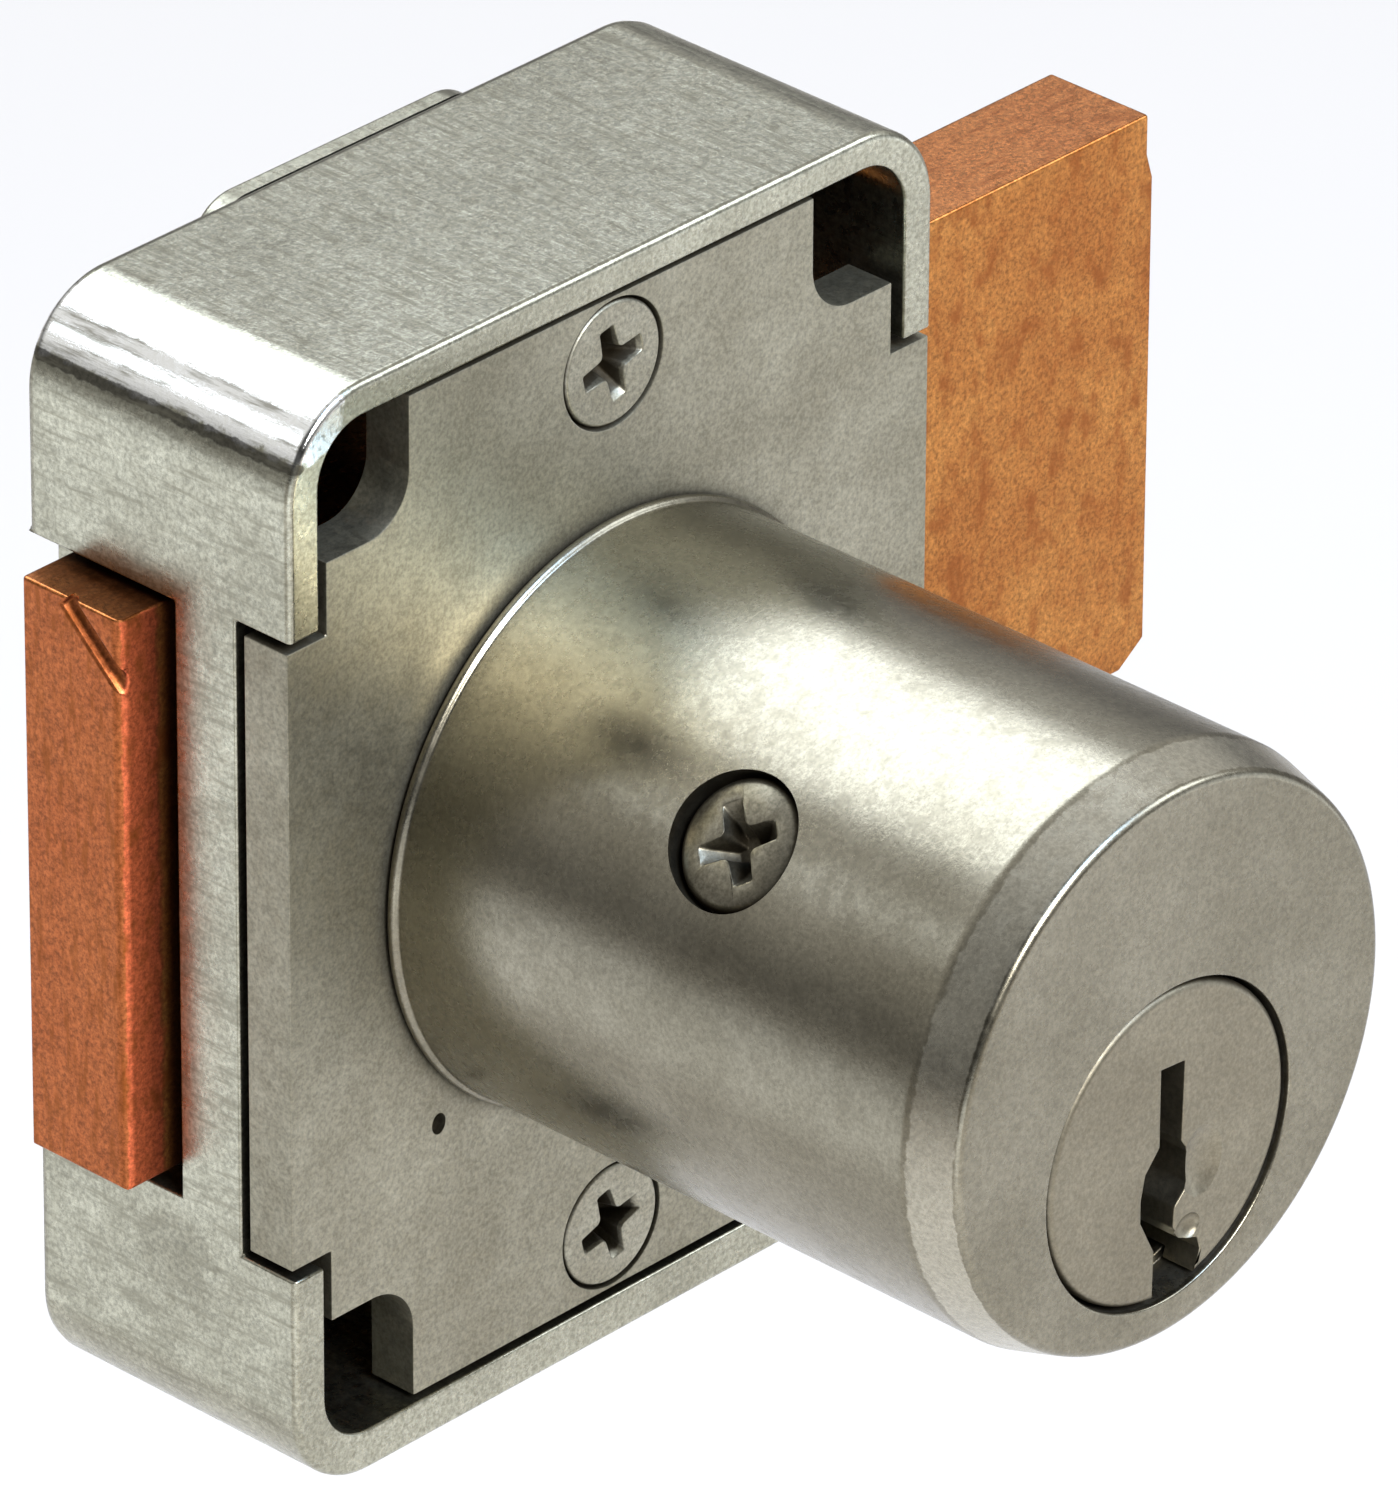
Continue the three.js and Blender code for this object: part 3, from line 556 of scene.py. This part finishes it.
def make_crank(material):
    low, high = [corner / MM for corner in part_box("cam")]
    hub, tip = 5.1, 2.6
    lean = math.degrees(math.acos((hub - tip) / CRANK_THROW))
    outline = arc(0, PLUG_Z, hub, lean, 360 - lean, 60) + arc(CRANK_THROW, PLUG_Z, tip, -lean, lean, 28)
    crank = prism("crank", outline, low.y, high.y)
    hole = bar("hole", TAIL_RADIUS + 0.12, low.y - 1, high.y + 1, 0, PLUG_Z, 64)
    half_flat = TAIL_HALF_FLAT + 0.12
    combine(hole, box("flats", -half_flat, half_flat, 0, 8, -12, 8), "INTERSECT")
    cut(crank, hole)
    cut(crank, bar("pin_hole", 1.2, low.y - 1, high.y + 1, CRANK_THROW, PLUG_Z, 48))
    soften(crank, 0.12)
    place(crank, "plug", "steel", material, "cam")

    pin_low, pin_high = [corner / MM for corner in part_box("cam_pin")]
    shoulder = high.y + 0.1
    profile = [(0, pin_low.y), (0.95, pin_low.y), (1.1, pin_low.y + 0.15), (1.1, shoulder),
               (DRIVE_PIN_RADIUS - 0.08, shoulder), (DRIVE_PIN_RADIUS, shoulder + 0.08),
               (DRIVE_PIN_RADIUS, pin_high.y - 0.3), (DRIVE_PIN_RADIUS - 0.1, pin_high.y - 0.1),
               (DRIVE_PIN_RADIUS - 0.3, pin_high.y), (0, pin_high.y)]
    pin = turned("drive_pin", profile, 64)
    pin.data.transform(Matrix.Translation((CRANK_THROW * MM, 0, PLUG_Z * MM)))
    place(pin, "plug", "steel", material, "cam_pin")

    screw_low, screw_high = [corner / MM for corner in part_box("cam_screw")]
    length = screw_high.y - screw_low.y
    profile = [(0, 0), (2.2, 0), (2.45, 0.06), (2.58, 0.2), (2.6, 0.35), (2.6, 1.2), (1.3, 1.2),
               (1.3, length - 0.4), (0.9, length), (0, length)]
    screw = turned("crank_screw", profile, 64)
    cut_cross(screw, 0, 0.4, 0.95)
    soften(screw, 0.05, segments=2)
    flip = Matrix.Rotation(math.pi, 4, "X")
    screw.data.transform(Matrix.Translation((0, screw_high.y * MM, PLUG_Z * MM)) @ flip)
    place(screw, "plug", "steel", material, "cam_screw")


def make_pin_stack(number, brass, wire):
    for kind, lower, upper in (("key_pin", 0.8, 0.2), ("driver_pin", 0.2, 0.2)):
        node = f"{kind}_{number}"
        low, high = [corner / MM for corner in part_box(node)]
        radius = 1.45
        profile = [(0, -high.z), (radius - upper, -high.z), (radius - upper * 0.3, -high.z + upper * 0.3),
                   (radius, -high.z + upper), (radius, -low.z - lower),
                   (radius - lower * 0.3, -low.z - lower * 0.3), (radius - lower, -low.z), (0, -low.z)]
        pin = turned(f"{kind}_body_{number}", profile, 48)
        middle = (low.y + high.y) / 2
        stand = Matrix.Rotation(math.radians(-90), 4, "X")
        pin.data.transform(Matrix.Translation((0, middle * MM, 0)) @ stand)
        place(pin, node, "brass", brass, node)
    low, high = [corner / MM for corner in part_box(f"pin_spring_{number}")]
    coil = coil_mesh(f"coil_{number}", (low.y + high.y) / 2, low.z, high.z, 1.19, 0.16, 6.5)
    place(coil, "lock_body", "spring_steel", wire, f"pin_spring_{number}")


# ---- materials ----
def node(tree, kind, inputs=None, **settings):
    made = tree.nodes.new(kind)
    for key, value in settings.items():
        setattr(made, key, value)
    for key, value in (inputs or {}).items():
        if isinstance(value, bpy.types.NodeSocket):
            tree.links.new(value, made.inputs[key])
        else:
            made.inputs[key].default_value = value
    return made


def stretched(tree, place_socket, per_mm):
    """Object coordinates scaled so that one unit is the wanted grain size, per axis."""
    scale = tuple(value / MM for value in per_mm)
    return node(tree, "ShaderNodeMapping", {"Vector": place_socket, "Scale": scale}).outputs["Vector"]


def noise(tree, vector, detail=2.0, roughness=0.5):
    made = node(tree, "ShaderNodeTexNoise", {"Vector": vector, "Scale": 1.0, "Detail": detail,
                                             "Roughness": roughness})
    return made.outputs["Fac"]


def remap(tree, value, low, high, out_low, out_high):
    return node(tree, "ShaderNodeMapRange", {"Value": value, "From Min": low, "From Max": high,
                                             "To Min": out_low, "To Max": out_high}).outputs["Result"]


def blend_colour(tree, factor, first, second, mode="MIX"):
    made = node(tree, "ShaderNodeMix", data_type="RGBA", blend_type=mode)
    for key, value in (("Factor", factor), ("A", first), ("B", second)):
        socket = next(s for s in made.inputs if s.name == key and s.enabled)
        if isinstance(value, bpy.types.NodeSocket):
            tree.links.new(value, socket)
        else:
            socket.default_value = value
    return next(s for s in made.outputs if s.enabled)


def box_mask(tree, position, **ramps):
    """One inside a region and zero outside it. Each axis has (zero_at, one_at) in millimetres, or
    (zero_at, one_at, one_until, zero_from) for a band."""
    axes = node(tree, "ShaderNodeSeparateXYZ", {"Vector": position}).outputs
    mask = 1.0
    for axis, limits in ramps.items():
        for zero_at, one_at in (limits[:2], limits[:1:-1])[:len(limits) // 2]:
            ramp = remap(tree, axes[axis.upper()], zero_at * MM, one_at * MM, 0.0, 1.0)
            mask = times(tree, mask, ramp)
    return mask


def times(tree, first, second):
    return node(tree, "ShaderNodeMath", {0: first, 1: second}, operation="MULTIPLY").outputs["Value"]


def plus(tree, first, second):
    return node(tree, "ShaderNodeMath", {0: first, 1: second}, operation="ADD").outputs["Value"]


def metal(name, colour, darker, roughness, grain=0.5, brush=None, brush_depth=0.0, corner_shade=0.8,
          corner_shade_colour=(0.03, 0.022, 0.012, 1), corner_shade_reach=0.9, patches=()):
    """Plated or bare metal: fine grain, slow mottling, optional brushing, and painted shade in corners.
    Each patch is (box_mask limits, colour, amount, roughness change): a ragged worn or stained area,
    or an area of painted light or shade."""
    material = bpy.data.materials.new(name)
    material.use_nodes = True
    tree = material.node_tree
    tree.nodes.clear()
    position = node(tree, "ShaderNodeTexCoord").outputs["Object"]
    fine = noise(tree, stretched(tree, position, (5.5, 5.5, 5.5)), 3.0, 0.75)
    medium = noise(tree, stretched(tree, position, (1.6, 1.6, 1.6)), 3.0, 0.6)
    slow = noise(tree, stretched(tree, position, (0.22, 0.22, 0.22)), 2.0, 0.5)
    tone = blend_colour(tree, remap(tree, slow, 0.35, 0.65, 0.0, 0.5), colour, darker)
    tone = blend_colour(tree, remap(tree, medium, 0.4, 0.75, 0.0, 0.3), tone, darker)
    gloss = remap(tree, medium, 0.3, 0.7, roughness - 0.04, roughness + 0.05)
    for limits, patch_colour, amount, change in patches:
        area = plus(tree, box_mask(tree, position, **limits), remap(tree, medium, 0.3, 0.7, -0.35, 0.35))
        area = remap(tree, area, 0.35, 0.65, 0.0, 1.0)
        gloss = plus(tree, gloss, times(tree, area, change))
        tone = blend_colour(tree, times(tree, area, amount), tone, patch_colour)
    tone = blend_colour(tree, grain, tone, node(tree, "ShaderNodeCombineColor", {
        channel: remap(tree, fine, 0.35, 0.65, 0.25, 0.85) for channel in ("Red", "Green", "Blue")
    }).outputs["Color"], "OVERLAY")
    height = fine
    if brush:
        lines = noise(tree, stretched(tree, position, brush), 3.0, 0.65)
        tone = blend_colour(tree, remap(tree, lines, 0.5, 0.66, 0.0, 0.7), tone, darker)
        height = plus(tree, height, remap(tree, lines, 0, 1, 0, brush_depth))
    # Painted shade: ambient occlusion darkens the colour in corners and recesses.
    hollow = node(tree, "ShaderNodeAmbientOcclusion", {"Distance": corner_shade_reach * MM}, samples=8)
    corner_shade_amount = remap(tree, hollow.outputs["AO"], 0.25, 0.95, corner_shade, 0.0)
    tone = blend_colour(tree, corner_shade_amount, tone, corner_shade_colour)
    gloss = plus(tree, gloss, times(tree, corner_shade_amount, 0.25))
    bump = node(tree, "ShaderNodeBump", {"Height": height, "Strength": 0.4, "Distance": 0.012 * MM})
    shader = node(tree, "ShaderNodeBsdfPrincipled", {"Base Color": tone, "Roughness": gloss,
                                                     "Normal": bump.outputs["Normal"]})
    shader.inputs["Metallic"].default_value = 1.0
    node(tree, "ShaderNodeOutputMaterial", {"Surface": shader.outputs["BSDF"]})
    return material


# Worn, stained or toned areas, and areas of painted light and shade: a region in millimetres, its colour,
# its strength, its roughness change.
# Worn polish on the top-left bend, partly real wear and partly a painted highlight: pale enough to show
# white.
WORN_BEND_HIGHLIGHT = ({"x": (-13.0, -13.6), "z": (18.9, 19.5)}, (0.95, 0.95, 0.92, 1), 0.9, -0.16)
# A painted dark reflection: a ragged dark line under the bend's highlight.
BEND_DARK_REFLECTION = ({"x": (-15.0, -15.3), "z": (18.75, 18.95, 19.15, 19.3)}, (0.03, 0.025, 0.018, 1), 0.8, 0.1)
WALL_STAIN = ({"x": (-15.7, -15.8), "y": (3.0, 5.5, 6.5, 9.0), "z": (-17.0, -14.0, -13.0, -11.8)},
              (0.12, 0.105, 0.07, 1), 0.2, 0.05)
# Painted shade: the case's top face is darkened.
TOP_FACE_SHADE = ({"z": (21.1, 21.17)}, (0.27, 0.262, 0.21, 1), 0.6, -0.08)
# Painted light: a paler band round the nose taper lifts its shade.
NOSE_BAND_LIGHT = ({"y": (-25.6, -25.45, -24.0, -23.7)}, (0.5, 0.47, 0.38, 1), 0.6, 0.0)
# Painted shade: the plate screws' cross recesses are kept dark.
RECESS_SHADE = ({"y": (plate_low.y + 0.12, plate_low.y + 0.35)}, (0.06, 0.053, 0.04, 1), 0.85, 0.1)
TAIL_RED = ({"x": (-15.7, -16.1)}, (0.32, 0.085, 0.03, 1), 0.8, 0.0)
# Painted light: the tail's shaded front strip is given a brighter red.
TAIL_FRONT_LIGHT = ({"x": (-15.9, -16.2), "y": (6.4, 6.25)}, (0.55, 0.12, 0.05, 1), 0.8, 0.0)
# Painted shade: the bolt's top face is darkened, leaving its front edge bright.
BOLT_TOP_FACE_SHADE = ({"z": (11.68, 11.78)}, (0.34, 0.12, 0.035, 1), 0.8, -0.17)

# Every metal below has painted shade in its corners; the screws and the bolt have it deeper and wider.
case_metal = metal("case_nickel", (0.385, 0.373, 0.292, 1), (0.21, 0.197, 0.145, 1), 0.28,
                   brush=(4.0, 0.4, 4.0), brush_depth=1.2,
                   patches=(WORN_BEND_HIGHLIGHT, BEND_DARK_REFLECTION, WALL_STAIN, TOP_FACE_SHADE))
plate_metal = metal("plate_nickel", (0.3, 0.28, 0.212, 1), (0.185, 0.166, 0.116, 1), 0.46, grain=0.4)
cylinder_metal = metal("cylinder_nickel", (0.25, 0.228, 0.172, 1), (0.16, 0.142, 0.1, 1), 0.26, grain=0.3,
                       patches=(NOSE_BAND_LIGHT,))
plug_metal = metal("plug_nickel", (0.245, 0.218, 0.158, 1), (0.165, 0.142, 0.098, 1), 0.4, grain=0.3)
screw_metal = metal("screw_nickel", (0.33, 0.312, 0.245, 1), (0.2, 0.18, 0.125, 1), 0.42,
                    corner_shade=1.0, corner_shade_reach=1.6, patches=(RECESS_SHADE,))
side_screw_metal = metal("side_screw_nickel", (0.21, 0.19, 0.14, 1), (0.13, 0.115, 0.08, 1), 0.36,
                         corner_shade=1.0, corner_shade_reach=1.4)
bolt_metal = metal("bolt_bronze", (0.4, 0.17, 0.043, 1), (0.24, 0.066, 0.012, 1), 0.42, grain=0.7,
                   brush=(0.8, 2.4, 0.5), brush_depth=0.8, corner_shade=1.0, corner_shade_reach=2.2,
                   corner_shade_colour=(0.03, 0.006, 0.003, 1), patches=(TAIL_RED, TAIL_FRONT_LIGHT, BOLT_TOP_FACE_SHADE))
brass_metal = metal("brass", (0.72, 0.56, 0.25, 1), (0.5, 0.36, 0.14, 1), 0.3)
steel_metal = metal("steel", (0.5, 0.5, 0.48, 1), (0.34, 0.34, 0.32, 1), 0.34)
wire_metal = metal("spring_steel", (0.42, 0.42, 0.42, 1), (0.28, 0.28, 0.28, 1), 0.3)

make_case(case_metal)
make_front_plate(plate_metal)
make_housing(cylinder_metal)
make_plug(plug_metal)
make_bolt(bolt_metal)
for screw_end, screw_z, screw_turn in (("top", SCREW_Z, 0.22), ("bottom", -SCREW_Z, 0.26)):
    make_plate_screw(screw_end, screw_z, screw_turn, screw_metal)
    make_post(screw_end, screw_z, steel_metal)
make_side_screw(side_screw_metal)
make_crank(steel_metal)
for pin_number in range(1, 6):
    make_pin_stack(pin_number, brass_metal, wire_metal)


# ---- floor and light ----
FLOOR_COLOUR = (0.59, 0.556, 0.52, 1)


def make_floor():
    """A wide pale floor, far enough below the lock that no shadow of it shows."""
    half, level = 6.0, -0.35
    mesh = bpy.data.meshes.new("floor")
    corners = [(-half, -half, level), (half, -half, level), (half, half, level), (-half, half, level)]
    mesh.from_pydata(corners, [], [(0, 1, 2, 3)])
    floor = bpy.data.objects.new("floor", mesh)
    bpy.context.scene.collection.objects.link(floor)
    material = bpy.data.materials.new("floor")
    material.use_nodes = True
    shader = material.node_tree.nodes["Principled BSDF"]
    shader.inputs["Base Color"].default_value = FLOOR_COLOUR
    shader.inputs["Roughness"].default_value = 0.9
    mesh.materials.append(material)


def make_light(name, direction, distance, size, power, colour=(1, 1, 1)):
    """A softbox in this direction from the lock, facing it. Distance, width and height in metres."""
    data = bpy.data.lights.new(name, "AREA")
    data.shape = "RECTANGLE"
    data.size, data.size_y = size
    data.energy = power
    data.color = colour
    light = bpy.data.objects.new(name, data)
    bpy.context.scene.collection.objects.link(light)
    towards = Vector(direction).normalized()
    light.location = towards * distance
    light.rotation_mode = "QUATERNION"
    light.rotation_quaternion = towards.to_track_quat("Z", "Y")


def make_world(strength):
    """An even studio that is dark along the horizon and on the side the camera stands."""
    world = bpy.data.worlds.new("studio")
    world.use_nodes = True
    tree = world.node_tree
    tree.nodes.clear()
    direction = node(tree, "ShaderNodeTexCoord").outputs["Generated"]
    dark_side = view_direction(CAMERA_AZIMUTH, CAMERA_ELEVATION)
    nearness = node(tree, "ShaderNodeVectorMath", {0: direction, 1: tuple(dark_side)},
                    operation="DOT_PRODUCT").outputs["Value"]
    height = node(tree, "ShaderNodeSeparateXYZ", {"Vector": direction}).outputs["Z"]
    level = times(tree, remap(tree, nearness, 0.5, 0.88, strength, 0.1 * strength),
                  remap(tree, height, 0.12, 0.38, 0.3, 1.0))
    background = node(tree, "ShaderNodeBackground", {"Color": (1, 1, 1, 1), "Strength": level})
    node(tree, "ShaderNodeOutputWorld", {"Surface": background.outputs["Background"]})
    bpy.context.scene.world = world


COOL = (0.78, 0.87, 1.0)
COLD = (0.38, 0.6, 1.0)
make_floor()
make_world(0.8)
make_light("overhead", (0.26, 0.8, 1), 1.28, (1.2, 0.56), 13.5, COOL)
make_light("front_top", (0.05, -0.6, 0.78), 1.0, (0.5, 0.4), 10, COLD)
make_light("floor_fill", (-0.2, -0.75, 0.63), 1.5, (0.6, 0.6), 37)
make_light("left_front", (-0.62, -0.6, -0.25), 0.6, (0.4, 0.25), 0.5, COOL)
make_light("corner", (-0.58, 0.6, 0.55), 1.2, (0.2, 0.2), 0.25, COOL)
make_light("left_low", (-0.63, 0.55, -0.42), 0.6, (0.4, 0.4), 0.43, COOL)
make_light("front_low", (0.75, -0.58, -0.12), 0.3, (0.15, 0.15), 0.1, COOL)
make_light("front_right", (0.64, -0.49, 0.6), 1.2, (0.5, 0.5), 5, COOL)
bpy.context.scene.view_settings.view_transform = "Standard"
